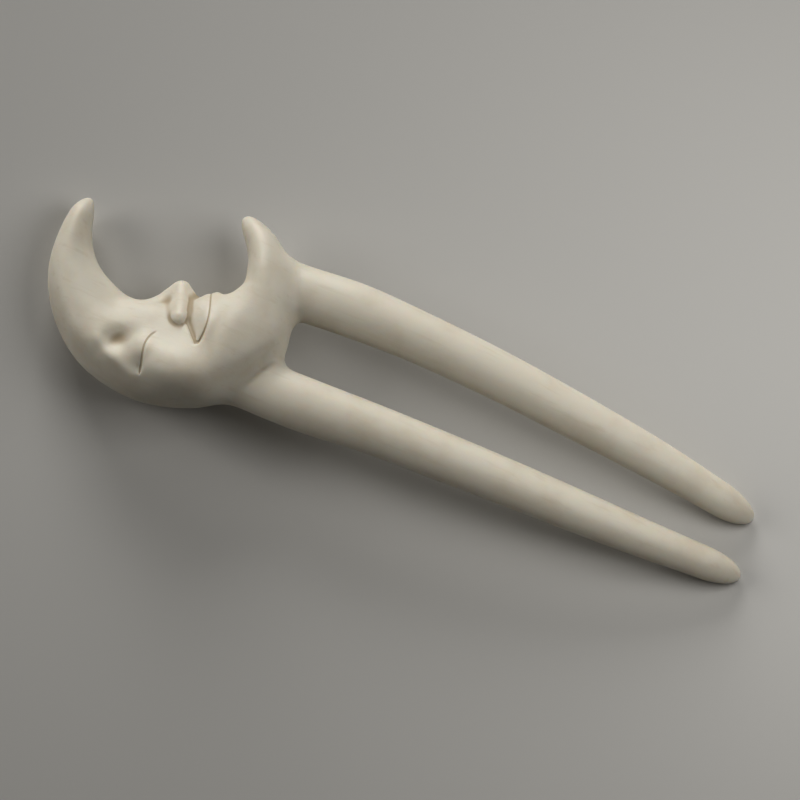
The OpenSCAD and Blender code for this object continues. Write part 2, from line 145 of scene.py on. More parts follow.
CRESCENT_SECTIONS = Sections(
    columns=("angle", "inner_radius", "outer_radius", "half_thickness", "squareness", "lean"),
    rows=(
        (173, 15.1, 18.6, 1.6, 2.0, 0.0),
        (181, 14.9, 19.0, 2.9, 2.0, 0.02),
        (190, 14.5, 19.5, 3.9, 2.0, 0.05),
        (202, 14.0, 20.5, 4.7, 2.0, 0.1),
        (215, 13.6, 22.0, 5.2, 2.0, 0.12),
        (230, 13.1, 23.7, 5.8, 2.0, 0.16),
        (245, 12.6, 25.5, 6.3, 2.1, 0.2),
        (260, 12.4, 27.5, 6.8, 2.35, 0.25),
        (275, 12.4, 29.1, 7.1, 2.6, 0.3),
        (290, 12.5, 30.75, 7.2, 2.6, 0.3),
        (305, 12.8, 32.0, 7.2, 2.6, 0.28),
        (320, 13.0, 31.0, 7.0, 2.5, 0.2),
        (335, 14.4, 31.0, 6.6, 2.4, 0.0),
        (350, 16.3, 26.9, 6.3, 2.25, -0.15),
        (362, 15.4, 23.6, 5.9, 2.1, -0.2),
        (373, 14.4, 21.3, 5.0, 2.1, -0.1),
        (383, 13.6, 19.4, 3.9, 2.1, -0.05),
        (393, 13.0, 17.1, 2.5, 2.0, 0.0),
        (403, 12.3, 15.8, 1.6, 2.0, 0.0),
    ),
)

PRONG_SECTIONS = Sections(
    columns=("x", "upper", "lower", "half_width", "half_thickness"),
    rows=(
        (10, 6.4, -11.4, 5.2, 3.6),
        (20, 6.3, -12.3, 5.0, 3.4),
        (32, 7.2, -12.15, 5.0, 3.75),
        (44, 7.4, -11.25, 4.6, 3.75),
        (60, 7.05, -10.4, 4.35, 3.65),
        (76, 6.3, -9.5, 4.05, 3.4),
        (92, 5.5, -8.45, 3.6, 3.0),
        (106, 4.45, -7.1, 3.05, 2.5),
        (114, 3.95, -6.4, 2.95, 2.2),
    ),
)


@dataclass(frozen=True)
class MiddleSheet:
    """The bowed sheet through the middle of the fork's thickness.

    Attributes:
        moon_rest: Height of the sheet at the moon's middle.
        moon_rise: Rise of the sheet at the moon for each millimetre along x.
        moon_roll: Rise of the sheet for each millimetre along y.
        arch_start: Place along x where the arch starts.
        tip_rest: Height of the sheet at the upper prong's tip.
        reach: Place along x of that tip.
        arch_lag: How much later the arch starts under the lower prong.
        upper_tip: Place along y of the upper tip.
        lower_tip: Place along y of the lower tip.
    """

    moon_rest: float = 7.85
    moon_rise: float = 0.14
    moon_roll: float = -0.035
    arch_start: float = 10.0
    tip_rest: float = 1.2
    reach: float = 111.0
    arch_lag: float = 0.4
    upper_tip: float = 3.95
    lower_tip: float = -6.4

    def height(self, x: Array, y: Array) -> Array:
        """Height of the sheet above the surface that the fork lies on.

        Args:
            x: Places along the fork.
            y: Places across it.

        Returns:
            The heights, in millimetres.
        """
        fall = self.moon_rest + self.moon_rise * self.reach - self.tip_rest
        bend = 2.0 * fall / (self.reach - self.arch_start) ** 2
        lag = self.arch_lag * (self.upper_tip - y) / (self.upper_tip - self.lower_tip)
        past = np.maximum(x - self.arch_start - lag, 0.0)
        return self.moon_rest + self.moon_rise * x + self.moon_roll * y - bend * past * past / 2.0


@dataclass(frozen=True)
class Crescent:
    """The plain crescent, with rounded sections about the middle of its hollow.

    Attributes:
        hollow_x: Place along x of the hollow's middle.
        hollow_y: Place along y of the hollow's middle.
        open_side: Direction of the open side, from which the angle about the hollow is counted on.
        brow_point: Angle of the brow horn's point.
        brow_round: Angle where that horn starts to round off.
        chin_round: Angle where the chin horn starts to round off.
        chin_point: Angle of its point.
        true_scale: Factor that brings the field close to a true distance.
        far: Half widths beyond which the field grows no further across.
        sections: The sections about the hollow.
    """

    hollow_x: float = -4.0
    hollow_y: float = 6.3
    open_side: float = 107.0
    brow_point: float = 173.8
    brow_round: float = 187.0
    chin_round: float = 388.5
    chin_point: float = 400.7
    true_scale: float = 0.9
    far: float = 3.0
    sections: Sections = CRESCENT_SECTIONS

    def middle(self, angle: Array) -> Array:
        """Radius of a section's middle."""
        return (self.sections.at("inner_radius", angle) + self.sections.at("outer_radius", angle)) / 2.0

    def half_width(self, angle: Array) -> Array:
        """Half of a section's width, along the radius."""
        return (self.sections.at("outer_radius", angle) - self.sections.at("inner_radius", angle)) / 2.0

    def past_end(self, angle: Array) -> Array:
        """Measures how far a section lies in a horn's rounded end.

        Args:
            angle: Angles of the sections.

        Returns:
            Share of the way through the rounded end, and nought between the horns.
        """
        brow = np.maximum(self.brow_round - angle, 0.0) / (self.brow_round - self.brow_point)
        chin = np.maximum(angle - self.chin_round, 0.0) / (self.chin_point - self.chin_round)
        return brow + chin

    def field(self, x: Array, y: Array, q: Array) -> Array:
        """Signed distance to the crescent, nearly.

        Args:
            x: Places along the fork.
            y: Places across it.
            q: Heights over the middle sheet.

        Returns:
            Millimetres outside the crescent, or minus those inside it.
        """
        radius = np.hypot(x - self.hollow_x, y - self.hollow_y)
        angle = np.degrees(np.arctan2(y - self.hollow_y, x - self.hollow_x))
        angle = np.where(angle < self.open_side, angle + FULL_TURN, angle)
        width = self.half_width(angle)
        thick = self.sections.at("half_thickness", angle)
        power = self.sections.at("squareness", angle)
        across = np.clip((radius - self.middle(angle)) / width, -self.far, self.far)
        across = across - self.sections.at("lean", angle) * np.maximum(1.0 - across**2, 0.0) ** 2
        round_size = (np.abs(across) ** power + np.abs(q / thick) ** power) ** (2.0 / power)
        size = np.sqrt(round_size + self.past_end(angle) ** 2)
        return (size - 1.0) * np.minimum(width, thick) * self.true_scale


class ProngSide(Enum):
    """The two prongs, named for where they lie; the value is the column with the prong's middle."""

    UPPER = "upper"
    LOWER = "lower"


@dataclass(frozen=True)
class Prong:
    """One round prong that tapers from its root in the moon to a rounded tip.

    Attributes:
        side: Which prong this is.
        reach: Place along x of its tip.
        width_share: Width against the mean of the two prongs.
        root_start: Place along x, inside the moon, where its own form starts.
        root_round: Length of that round start.
        tip_round: Length of the rounded tip.
        true_scale: Factor that brings the field close to a true distance.
        sections: The sections along both prongs.
    """

    side: ProngSide
    reach: float
    width_share: float
    root_start: float
    root_round: float = 5.0
    tip_round: float = 7.0
    true_scale: float = 0.95
    sections: Sections = PRONG_SECTIONS

    def middle(self, x: Array) -> Array:
        """Place along y of the prong's middle."""
        return self.sections.at(self.side.value, x)

    def past_end(self, x: Array) -> Array:
        """Share of the way through the rounded tip, and nought before it."""
        return np.maximum(x - (self.reach - self.tip_round), 0.0) / self.tip_round

    def field(self, x: Array, y: Array, q: Array) -> Array:
        """Signed distance to the prong, nearly.

        Args:
            x: Places along the fork.
            y: Places across it.
            q: Heights over the middle sheet.

        Returns:
            Millimetres outside the prong, or minus those inside it.
        """
        width = self.sections.at("half_width", x) * self.width_share
        thick = self.sections.at("half_thickness", x)
        before = np.maximum(self.root_start - x, 0.0) / self.root_round
        across = (y - self.middle(x)) / width
        size = np.sqrt(across**2 + (q / thick) ** 2 + self.past_end(x) ** 2 + before**2)
        return (size - 1.0) * np.minimum(width, thick) * self.true_scale


@dataclass(frozen=True)
class Swell:
    """A swell of a flank, seen in plan; a rise below nought is a hollow.

    Attributes:
        x: Place along the fork.
        y: Place across it.
        along: Half length along the turned direction.
        across: Half width across it.
        rise: Height of the swell.
        turn: Direction of its length, in degrees from x.
        firmness: One for a soft swell, and more for one with a flat top and a firmer edge.
    """

    x: float
    y: float
    along: float
    across: float
    rise: float
    turn: float = 0.0
    firmness: float = 1.0

    def lift(self, x: Array, y: Array) -> Array:
        """Height that the swell adds at each place.

        Args:
            x: Places along the fork.
            y: Places across it.

        Returns:
            The added heights.
        """
        cos, sin = math.cos(math.radians(self.turn)), math.sin(math.radians(self.turn))
        along = ((x - self.x) * cos + (y - self.y) * sin) / self.along
        across = ((y - self.y) * cos - (x - self.x) * sin) / self.across
        return self.rise * np.exp(-((along**2 + across**2) ** self.firmness))


@dataclass(frozen=True)
class Ball:
    """A swell about a point in space, the same on both flanks.

    Attributes:
        at: The point: x, y and height over the middle sheet.
        size: Its half sizes along x, y and the height.
        rise: Height of the swell, below nought for a hollow.
    """

    at: Point
    size: Point
    rise: float

    def lift(self, x: Array, y: Array, q: Array) -> Array:
        """Height that the ball adds at each place.

        Args:
            x: Places along the fork.
            y: Places across it.
            q: Heights over the middle sheet, without a sign.

        Returns:
            The added heights.
        """
        far = ((x - self.at[0]) / self.size[0]) ** 2 + ((y - self.at[1]) / self.size[1]) ** 2
        return self.rise * np.exp(-far - ((q - self.at[2]) / self.size[2]) ** 2)


@dataclass(frozen=True)
class Bar:
    """A round bar between two balls.

    Attributes:
        start: Middle of the first ball.
        end: Middle of the second ball.
        start_radius: Radius of the first ball.
        end_radius: Radius of the second ball.
        softness: Softness of its joint to the bars before it.
    """

    start: Point
    end: Point
    start_radius: float
    end_radius: float
    softness: float = 0.6

    def field(self, x: Array, y: Array, q: Array) -> Array:
        """Signed distance to the bar.

        Args:
            x: Places along the fork.
            y: Places across it.
            q: Heights over the middle sheet, without a sign.

        Returns:
            Millimetres outside the bar, or minus those inside it.
        """
        place = np.stack([x, y, q], axis=-1) - np.array(self.start)
        run = np.array(self.end) - np.array(self.start)
        share = np.clip(place @ run / (run @ run), 0.0, 1.0)
        radius = self.start_radius + (self.end_radius - self.start_radius) * share
        return np.linalg.norm(place - share[..., None] * run, axis=-1) - radius


@dataclass(frozen=True)
class BowedLine:
    """A line in plan that bows to one side.

    Attributes:
        start: Where it starts.
        end: Where it ends.
        bow: How far its middle stands to the left of the straight line.
        skew: How far the bow is pushed towards the start.
    """

    start: tuple[float, float]
    end: tuple[float, float]
    bow: float = 0.0
    skew: float = 0.0

    def measure(self, x: Array, y: Array) -> tuple[Array, Array]:
        """Measures places against the line.

        Args:
            x: Places along the fork.
            y: Places across it.

        Returns:
            How far each place lies to the left of the line, and its share of the way along it.
        """
        run_x, run_y = self.end[0] - self.start[0], self.end[1] - self.start[1]
        length = math.hypot(run_x, run_y)
        way_x, way_y = run_x / length, run_y / length
        off_x, off_y = x - self.start[0], y - self.start[1]
        share = (off_x * way_x + off_y * way_y) / length
        held = np.clip(share, -LINE_OVERRUN, 1.0 + LINE_OVERRUN)
        bowed = 4.0 * self.bow * held * (1.0 - held) * (1.0 + self.skew * (0.5 - held))
        return off_y * way_x - off_x * way_y - bowed, share


class Edge(Enum):
    """How a fold meets the surface; the value is the power of its fall to each side."""

    CUT = 1.4
    SOFT = 2.0


@dataclass(frozen=True)
class Fold:
    """A cut, a hollow or a ridge along a bowed line, worked into both flanks.

    Attributes:
        line: The line.
        left: Half width of its left side.
        right: Half width of its right side.
        depth: Depth at its start, or below nought for a ridge.
        deepening: Depth that is added towards its end.
        fade_in: Share of its length over which it deepens from nought.
        fade_out: Share over which it runs out.
        edge: How it meets the surface.
    """

    line: BowedLine
    left: float
    right: float
    depth: float
    fade_in: float
    fade_out: float
    deepening: float = 0.0
    edge: Edge = Edge.CUT

    def sink(self, x: Array, y: Array) -> Array:
        """Depth that the fold takes from the surface.

        Args:
            x: Places along the fork.
            y: Places across it.

        Returns:
            The depths, in millimetres.
        """
        side, share = self.line.measure(x, y)
        fade = ease(np.minimum(share / self.fade_in, (1.0 - share) / self.fade_out))
        late = np.clip(share, 0.0, 1.0 + LINE_OVERRUN) ** DEEPENING_POWER
        depth = self.depth + self.deepening * late
        width = np.where(side > 0.0, self.left, self.right)
        return fade * depth * np.exp(-((np.abs(side) / width) ** self.edge.value))


@dataclass(frozen=True)
class LipRecess:
    """The upper lip's sunk side, between the edge of the cheek and the mouth.

    Attributes:
        cheek: Edge of the cheek, with the lip to its left.
        mouth: Line of the mouth, with the lip to its right.
        depth: Depth at the edge of the cheek.
        reach: Width over which the depth falls away from that edge.
        cheek_edge: Softness of the edge of the cheek.
        mouth_edge: Softness of the edge at the mouth.
        fade_in: Share of the cheek's edge over which the recess deepens.
        fade_out: Share over which it runs out at the corner of the mouth.
    """

    cheek: BowedLine
    mouth: BowedLine
    depth: float = 0.5
    reach: float = 1.9
    cheek_edge: float = 0.2
    mouth_edge: float = 0.2
    fade_in: float = 0.4
    fade_out: float = 0.1

    def sink(self, x: Array, y: Array) -> Array:
        """Depth that the recess takes from the surface.

        Args:
            x: Places along the fork.
            y: Places across it.

        Returns:
            The depths, in millimetres.
        """
        inside, share = self.cheek.measure(x, y)
        beyond, _ = self.mouth.measure(x, y)
        sides = rise(inside / self.cheek_edge) * rise(-beyond / self.mouth_edge)
        fade = ease(np.minimum(share / self.fade_in, (1.0 - share) / self.fade_out))
        return self.depth * fade * sides * np.exp(-np.maximum(inside, 0.0) / self.reach)


# Lines of the face and of the lower root, in plan
LASH_LINE = BowedLine((3.1, -11.2), (3.5, -20.3), bow=-1.0, skew=2.0)
MOUTH_LINE = BowedLine((7.2, 0.9), (10.45, -11.3), bow=1.03, skew=-1.0)
BROW_LINE = BowedLine((-8.2, -15.4), (4.6, -21.4), bow=-0.8)
CHEEK_LINE = BowedLine((5.9, -7.1), (10.4, -11.6))
NOSTRIL_LINE = BowedLine((4.4, -3.2), (6.3, -7.8))
ROOT_LINE = BowedLine((23.3, -3.6), (16.6, -18.6), bow=1.3)

# Rises and hollows of the flanks
CHEEK = Swell(x=8.8, y=-17.2, along=5.8, across=4.5, rise=2.0, turn=-20.0, firmness=1.3)
JAW_HOLLOW = Swell(x=11.4, y=-21.6, along=5.0, across=2.3, rise=-1.6, turn=24.0)
CHIN = Swell(x=14.0, y=-5.6, along=3.2, across=5.0, rise=0.65, turn=-7.0)
CHEEK_BACK = Swell(x=14.8, y=-12.5, along=3.2, across=4.1, rise=0.45)
EYE_SOCKET = Swell(x=-3.2, y=-15.8, along=3.1, across=2.0, rise=-1.2, turn=52.0)
EYELID = Swell(x=1.6, y=-15.3, along=2.1, across=2.5, rise=0.75, turn=-5.0, firmness=1.4)
OUTER_BROW = Swell(x=-3.9, y=-17.9, along=4.2, across=1.9, rise=0.52, turn=-24.0, firmness=1.3)
UNDER_EYE = Swell(x=4.5, y=-16.0, along=1.5, across=2.8, rise=0.22)
TEMPLE_HOLLOW = Swell(x=-6.8, y=-9.3, along=4.6, across=3.6, rise=-0.6)
NOSTRIL_GROOVE = Swell(x=5.6, y=-5.2, along=2.6, across=1.1, rise=-0.38, turn=-64.0)
UPPER_LIP = Swell(x=10.4, y=-6.8, along=1.5, across=3.0, rise=0.4, turn=27.0)
SMILE_HOLLOW = Swell(x=12.3, y=-6.8, along=0.9, across=2.8, rise=-0.2, turn=12.0)
NOSTRIL_WING = Swell(x=5.2, y=-7.7, along=1.25, across=1.15, rise=0.4, firmness=1.8)

# Rises and hollows of the profile
UNDER_LIP_DIP = Ball(at=(10.8, 0.7, 0.0), size=(2.0, 1.65, 5.0), rise=-0.55)
UPPER_LIP_EDGE = Ball(at=(7.1, -0.9, 0.0), size=(1.1, 2.0, 4.0), rise=0.45)
OVER_LIP_DIP = Ball(at=(5.6, -1.2, 0.0), size=(0.8, 1.3, 5.0), rise=-0.5)
LOWER_LIP_EDGE = Ball(at=(8.7, 0.0, 0.0), size=(0.9, 1.6, 4.0), rise=0.55)

# Bars that the nose is built of
BRIDGE = Bar((-1.2, -7.6, 0.0), (0.95, -3.65, 0.0), start_radius=1.9, end_radius=1.65)
RIDGE = Bar((0.95, -3.65, 0.0), (2.05, -1.55, 0.0), start_radius=1.6, end_radius=1.5)
NOSE_BASE = Bar((2.5, -1.55, 0.0), (5.05, -3.1, 0.0), start_radius=1.4, end_radius=1.55, softness=0.8)
NOSTRIL_SIDE = Bar((2.35, -2.0, 0.4), (4.95, -6.8, 5.1), start_radius=1.6, end_radius=0.7, softness=1.6)

# Cuts, hollows and ridges along the lines
LASHES = Fold(LASH_LINE, left=0.17, right=0.25, depth=0.035, fade_in=0.22, fade_out=0.14, deepening=0.25)
LID_SHADE = Fold(
    LASH_LINE, left=0.3, right=1.25, depth=0.22, fade_in=0.3, fade_out=0.2, deepening=0.42, edge=Edge.SOFT
)
MOUTH = Fold(MOUTH_LINE, left=0.17, right=0.34, depth=0.045, fade_in=0.05, fade_out=0.06, deepening=0.6)
BROW_RIDGE = Fold(BROW_LINE, left=0.9, right=0.8, depth=-0.3, fade_in=0.25, fade_out=0.2, edge=Edge.SOFT)
ROOT_VALLEY = Fold(ROOT_LINE, left=1.3, right=1.6, depth=0.6, fade_in=0.35, fade_out=0.55, edge=Edge.SOFT)


@dataclass(frozen=True)
class Face:
    """The sleeping face in profile, the same on both flanks.

    Attributes:
        swells: Rises and hollows seen in plan.
        balls: Rises and hollows about points.
        nose: Bars of the nose, joined in their order.
        nose_softness: Softness of the joint between the nose and the face.
        wing: Swell of the nostril's wing.
        folds: Closed eye, mouth and the brow's outer edge.
        recess: The upper lip's sunk side.
    """

    swells: tuple[Swell, ...] = (
        CHEEK,
        JAW_HOLLOW,
        CHIN,
        CHEEK_BACK,
        EYE_SOCKET,
        EYELID,
        OUTER_BROW,
        UNDER_EYE,
        TEMPLE_HOLLOW,
        NOSTRIL_GROOVE,
        UPPER_LIP,
        SMILE_HOLLOW,
    )
    balls: tuple[Ball, ...] = (UNDER_LIP_DIP, UPPER_LIP_EDGE, OVER_LIP_DIP, LOWER_LIP_EDGE)
    nose: tuple[Bar, ...] = (BRIDGE, RIDGE, NOSE_BASE, NOSTRIL_SIDE)
    nose_softness: float = 2.0
    wing: Swell = NOSTRIL_WING
    folds: tuple[Fold, ...] = (LASHES, LID_SHADE, MOUTH, BROW_RIDGE)
    recess: LipRecess = LipRecess(CHEEK_LINE, MOUTH_LINE)

    def near_cut(self, places: Array, nearness: float) -> Array:
        """Tells which points lie near a narrow cut or the nostril's wing.

        Args:
            places: Points over the middle sheet.
            nearness: How near, in millimetres.

        Returns:
            True for each point near one of them.
        """
        near = np.zeros(len(places), dtype=bool)
        for line in (LASH_LINE, MOUTH_LINE, CHEEK_LINE, NOSTRIL_LINE):
            side, share = line.measure(places[:, 0], places[:, 1])
            near |= (np.abs(side) < nearness) & (np.abs(share - 0.5) < 0.5 + CUT_OVERRUN)
        from_wing = np.hypot(places[:, 0] - self.wing.x, places[:, 1] - self.wing.y)
        return near | (from_wing < nearness + self.wing.along)

    def work(self, x: Array, y: Array, q: Array, plain: Array) -> Array:
        """Works the face into the plain crescent.

        Args:
            x: Places along the fork.
            y: Places across it.
            q: Heights over the middle sheet.
            plain: The crescent's own field there.

        Returns:
            The field of the moon with its face.
        """
        q = np.abs(q)
        skin = plain - sum(swell.lift(x, y) for swell in self.swells)
        skin = skin - sum(ball.lift(x, y, q) for ball in self.balls)
        nose = self.nose[0].field(x, y, q)
        for bar in self.nose[1:]:
            nose = soft_least(nose, bar.field(x, y, q), bar.softness)
        skin = skin + self.recess.sink(x, y) + sum(fold.sink(x, y) for fold in self.folds)
        return soft_least(skin, nose, self.nose_softness) - self.wing.lift(x, y)


@dataclass(frozen=True)
class ForkForm:
    """The whole form of the fork over its middle sheet.

    Attributes:
        sheet: The bowed middle sheet.
        crescent: The plain crescent.
        face: The face that is worked into it.
        upper: The prong nearer to the moon's open side.
        lower: The other prong.
        root_softness: Softness of the joint between the moon and the prongs.
        root_valley: Valley along the moon's rim where the lower prong leaves it.
        moon_end: Place along x beyond which there is nothing of the moon.
        steps: Steps that a ray takes to the surface.
        stride: Share of the field's value that each step takes.
        least_slope: Least square of the field's slope that a step is divided by.
        settling: Steps that a point near the surface takes onto it.
        feel: Distance over which the slope of the field is felt.
    """

    sheet: MiddleSheet = MiddleSheet()
    crescent: Crescent = Crescent()
    face: Face = Face()
    upper: Prong = Prong(ProngSide.UPPER, reach=111.0, width_share=1.02, root_start=19.0)
    lower: Prong = Prong(ProngSide.LOWER, reach=113.0, width_share=0.98, root_start=15.0)
    root_softness: float = 2.6
    root_valley: Fold = ROOT_VALLEY
    moon_end: float = 44.0
    steps: int = 24
    stride: float = 0.7
    least_slope: float = 0.05
    settling: int = 5
    feel: float = 0.02

    def field(self, places: Array) -> Array:
        """Signed distance to the fork, nearly.

        Args:
            places: Points as x, y and height over the middle sheet, in the last axis.

        Returns:
            Millimetres outside the fork, or minus those inside it.
        """
        x, y, q = places[..., 0], places[..., 1], places[..., 2]
        prongs = np.minimum(self.upper.field(x, y, q), self.lower.field(x, y, q))
        near = x < self.moon_end
        whole = prongs.copy()
        x, y, q = x[near], y[near], q[near]
        moon = self.face.work(x, y, q, self.crescent.field(x, y, q))
        whole[near] = soft_least(moon, prongs[near], self.root_softness) + self.root_valley.sink(x, y)
        return whole

    def cast(self, base: Array, way: Array, reach: Array) -> Array:
        """Follows rays from inside the fork to its surface.

        Args:
            base: Points that the rays start from.
            way: Their directions.
            reach: First guesses of how far the surface is, on the inside.

        Returns:
            The points of the surface.
        """
        way = way / np.linalg.norm(way, axis=-1, keepdims=True)
        for _ in range(self.steps):
            reach = reach - self.stride * self.field(base + reach[..., None] * way)
        return base + reach[..., None] * way

    def settle(self, places: Array) -> Array:
        """Moves points that are close to the surface onto it.

        Args:
            places: Points near the surface.

        Returns:
            The points of the surface.
        """
        for _ in range(self.settling):
            shifts = np.eye(3) * self.feel
            slope = [self.field(places + s) - self.field(places - s) for s in shifts]
            slope = np.stack(slope, axis=-1) / (2.0 * self.feel)
            steep = np.maximum((slope**2).sum(axis=-1, keepdims=True), self.least_slope)
            places = places - self.stride * self.field(places)[..., None] * slope / steep
        return places


@dataclass(frozen=True)
class Stretch:
    """A stretch of rings round the moon.

    Attributes:
        end: Angle about the hollow where it ends.
        rings: How many steps it takes.
    """

    end: float
    rings: int


@dataclass
class Skin:
    """The net of points over the fork, ring by ring, and the faces between them.

    Attributes:
        form: The form that it covers.
        stretches: Stretches of rings from the forehead horn to the chin horn.
        lower_root: Angles between which the lower prong leaves the moon.
        upper_root: Angles between which the upper prong leaves it.
        end_rings: Rings of each rounded horn end and prong tip.
        root_steps: Steps from the moon's outer rim to the edge of a root.
        root_turn: Turn round a section, in degrees, where a root ends.
        flank_steps: Steps from there to the inner rim.
        inner_crowd: How far the steps crowd towards the inner rim.
        root_rings: Rings between a root and the prong's first plain ring.
        plain_start: Place along x of that ring.
        plain_rings: Plain rings up to the rounded tip.
        first_reach: Share of a section's half size where its rays start.
        last_turn: Turn of the last ring on a rounded end, in degrees.
    """

    form: ForkForm
    stretches: tuple[Stretch, ...] = (
        Stretch(end=240, rings=34),
        Stretch(end=262, rings=26),
        Stretch(end=308, rings=96),
        Stretch(end=338, rings=60),
        Stretch(end=347, rings=14),
        Stretch(end=375, rings=40),
        Stretch(end=388.5, rings=20),
    )
    lower_root: tuple[float, float] = (308, 338)
    upper_root: tuple[float, float] = (347, 375)
    end_rings: int = 18
    root_steps: int = 20
    root_turn: float = 41.0
    flank_steps: int = 62
    inner_crowd: float = 0.5
    root_rings: int = 14
    plain_start: float = 29.0
    plain_rings: int = 44
    first_reach: float = 0.6
    last_turn: float = 84.0

    def __post_init__(self) -> None:
        """Starts with an empty net."""
        self.points: list[Array] = []
        self.faces: list[tuple[int, ...]] = []
        self.next_point = 0

    def build(self) -> tuple[Array, list[tuple[int, ...]]]:
        """Covers the whole fork.

        Returns:
            The points over the middle sheet, and the faces as numbers of points.
        """
        angles = self.angles()
        moon = self.moon_halves(angles)
        ring = 2 * (self.root_steps + self.flank_steps)
        lower = self.ring_numbers(angles, self.lower_root)
        upper = self.ring_numbers(angles, self.upper_root)
        self.add_rings(list(moon))
        self.moon_faces(len(angles), ring, (lower, upper))
        self.close_horn(angles[0], [self.moon_point(0, step, ring) for step in range(ring)])
        last = [self.moon_point(len(angles) - 1, step, ring) for step in range(ring)]
        self.close_horn(angles[-1], last[::-1])
        for prong, root in ((self.form.upper, upper), (self.form.lower, lower)):
            self.add_prong(prong, root, moon, ring)
        return np.concatenate(self.points), self.faces

    def ends(self) -> Array:
        """Shares of the way through a rounded end, crowded towards its point."""
        turns = np.linspace(0.0, self.last_turn, self.end_rings + 1)[1:]
        return np.sin(np.radians(turns))

    def angles(self) -> Array:
        """Angles of all the moon's rings.

        Returns:
            The angles about the hollow, from one horn's point to the other's.
        """
        crescent = self.form.crescent
        start, last = crescent.brow_round, crescent.chin_round
        angles = [*(start - (start - crescent.brow_point) * self.ends()[::-1]), start]
        for stretch in self.stretches:
            angles.extend(np.linspace(angles[-1], stretch.end, stretch.rings + 1)[1:])
        return np.array([*angles, *(last + (crescent.chin_point - last) * self.ends())])

    def ring_numbers(self, angles: Array, root: tuple[float, float]) -> tuple[int, int]:
        """Numbers of the first and the last ring that carry a root."""
        first, last = (int(np.argmin(np.abs(angles - angle))) for angle in root)
        return first, last

    def turns(self) -> Array:
        """Turns round half a section, from the outer rim over the flank to the inner rim.

        Returns:
            The turns, in degrees.
        """
        edge = self.root_turn * np.arange(self.root_steps) / self.root_steps
        share = np.arange(self.flank_steps + 1) / self.flank_steps
        crowded = share + self.inner_crowd * (np.sin(share * math.pi / 2.0) - share)
        return np.concatenate([edge, self.root_turn + (HALF_TURN - self.root_turn) * crowded])

    def moon_halves(self, angles: Array) -> Array:
        """Finds the upper half of every ring of the moon.

        Args:
            angles: Angles of the rings.

        Returns:
            The points, by ring and by turn.
        """
        crescent = self.form.crescent
        turn = np.radians(self.turns())[None, :]
        angle = angles[:, None]
        middle, width = crescent.middle(angle), crescent.half_width(angle)
        thick = crescent.sections.at("half_thickness", angle)
        shrink = np.sqrt(np.maximum(1.0 - crescent.past_end(angle) ** 2, 0.0))
        cos, sin = np.cos(np.radians(angle)), np.sin(np.radians(angle))
        still = np.zeros_like(turn)
        base_x = crescent.hollow_x + middle * cos + still
        base_y = crescent.hollow_y + middle * sin + still
        base = np.stack([base_x, base_y, 0.0 * base_x], axis=-1)
        out = width * np.cos(turn)
        way = np.stack([out * cos, out * sin, thick * np.sin(turn)], axis=-1)
        reach = self.first_reach * shrink * np.linalg.norm(way, axis=-1)
        return self.form.cast(base, way, reach)

    def whole(self, half: Array) -> Array:
        """A whole ring of points from its upper half."""
        under = half[-2:0:-1] * np.array([1.0, 1.0, -1.0])
        return np.concatenate([half, under])

    def add_rings(self, halves: list[Array]) -> list[int]:
        """Adds rings to the net.

        Args:
            halves: The upper half of each ring.

        Returns:
            The number of each ring's first point.
        """
        firsts = []
        for half in halves:
            ring = self.whole(half)
            firsts.append(self.next_point)
            self.points.append(ring)
            self.next_point += len(ring)
        return firsts

    def add_point(self, point: Point) -> int:
        """Adds one point to the net.

        Args:
            point: Its place.

        Returns:
            Its number.
        """
        self.points.append(np.array([point]))
        self.next_point += 1
        return self.next_point - 1

    @staticmethod
    def moon_point(number: int, step: int, ring: int) -> int:
        """Number of the moon's point at a ring and a step round it."""
        return number * ring + step % ring

    def moon_faces(self, count: int, ring: int, roots: tuple[tuple[int, int], ...]) -> None:
        """Adds the faces of the moon, apart from those where a prong leaves it.

        Args:
            count: How many rings there are.
            ring: How many points each has.
            roots: First and last ring of each root.
        """
        for number in range(count - 1):
            rooted = any(first <= number < last for first, last in roots)
            span = range(self.root_steps, ring - self.root_steps) if rooted else range(ring)
            for step in span:
                here, there = number * ring, (number + 1) * ring
                after = (step + 1) % ring
                self.faces.append((here + step, there + step, there + after, here + after))

    def close_horn(self, angle: float, loop: list[int]) -> None:
        """Closes a horn at its point.

        Args:
            angle: Angle of the horn's last ring.
            loop: Points of that ring.
        """
        crescent = self.form.crescent
        point_angle = crescent.brow_point if angle < crescent.brow_round else crescent.chin_point
        radius = float(crescent.middle(np.array(point_angle)))
        x = crescent.hollow_x + radius * math.cos(math.radians(point_angle))
        y = crescent.hollow_y + radius * math.sin(math.radians(point_angle))
        self.fan(loop, self.add_point((x, y, 0.0)))

    def fan(self, loop: list[int], pole: int) -> None:
        """Adds a fan of faces between a loop and a point."""
        self.faces.extend((loop[i], loop[(i + 1) % len(loop)], pole) for i in range(len(loop)))

    def band(self, first: list[int], second: list[int]) -> None:
        """Adds a band of faces between two loops, the second of which may have half as many points.

        Args:
            first: Points of the loop nearer to the moon.
            second: Points of the loop nearer to the tip.
        """
        count = len(first)
        if len(second) == count:
            for i in range(count):
                after = (i + 1) % count
                self.faces.append((first[i], first[after], second[after], second[i]))
            return
        for i in range(len(second)):
            after = (i + 1) % len(second)
            left, middle, right = first[2 * i], first[2 * i + 1], first[(2 * i + 2) % count]
            self.faces.append((left, middle, second[i]))
            self.faces.append((middle, second[after], second[i]))
            self.faces.append((middle, right, second[after]))

